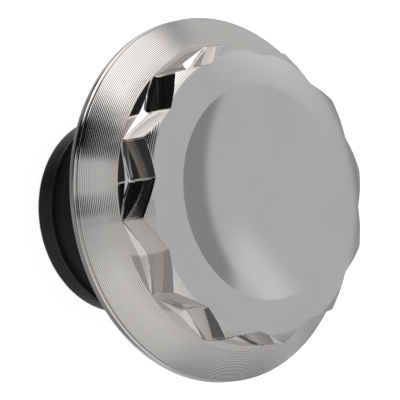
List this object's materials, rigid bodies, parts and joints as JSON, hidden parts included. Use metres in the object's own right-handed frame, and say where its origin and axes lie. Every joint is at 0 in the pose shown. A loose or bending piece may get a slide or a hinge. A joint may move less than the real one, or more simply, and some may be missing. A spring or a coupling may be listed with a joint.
{
  "type": "fuel cap",
  "caption": "Screw-in vented fuel cap: chromed domed flange with fine turned grooves, faceted lobed knob with a dished top, and a black threaded ratchet plug.",
  "frame": {"origin": "centre of the neck's lower end, on the cap's axis", "axes": "+Z along the cap's axis from the neck to the knob's top face; +X through a notch of the knob"},
  "size_m": [0.088, 0.088, 0.0552],
  "materials": {
    "chromed_metal": "polished and chromed",
    "black_nylon": "moulded, satin",
    "black_rubber": "smooth, slightly shiny",
    "plain_steel": "machined",
    "spring_steel": "drawn wire and strip",
    "white_acetal": "moulded, satin",
    "brass": "turned",
    "filter_foam": "open-cell"
  },
  "bodies": {
    "closure": {"closure_barrel": "black_nylon", "neck_seal": "black_rubber", "seat_gasket": "black_rubber", "thrust_washer": "white_acetal", "ratchet_wheel": "white_acetal", "wheel_screws": "plain_steel", "valve_housing": "white_acetal", "housing_oring": "black_rubber", "housing_circlip": "spring_steel", "spring_plate": "white_acetal", "vent_filter": "filter_foam", "filter_retainer": "white_acetal", "pressure_spring": "spring_steel"},
    "cover": {"cap_cover": "chromed_metal", "retainer_plate": "plain_steel", "plate_screws": "plain_steel", "pawl_ring": "spring_steel"},
    "pressure_valve": {"pressure_disc": "brass", "pressure_seal": "black_rubber", "vacuum_spring": "spring_steel"},
    "vacuum_valve": {"vacuum_poppet": "brass", "vacuum_seal": "black_rubber", "stem_clip": "spring_steel"}
  },
  "joints": [
    {"name": "cover_ratchet", "type": "hinge", "parent": "closure", "child": "cover", "pos_m": [0, 0, 0.0388], "axis": [0, 0, 1], "range_deg": [-360, 0], "deforming": ["pawl_ring"]},
    {"name": "pressure_valve_lift", "type": "slide", "parent": "closure", "child": "pressure_valve", "axis": [0, 0, 1], "range_m": [0, 0.0015], "stiffness_N_per_m": 600, "springref_m": -0.004, "deforming": ["pressure_spring"]},
    {"name": "vacuum_valve_drop", "type": "slide", "parent": "pressure_valve", "child": "vacuum_valve", "axis": [0, 0, -1], "range_m": [0, 0.0015], "stiffness_N_per_m": 100, "springref_m": -0.003, "deforming": ["vacuum_spring"]}
  ]
}
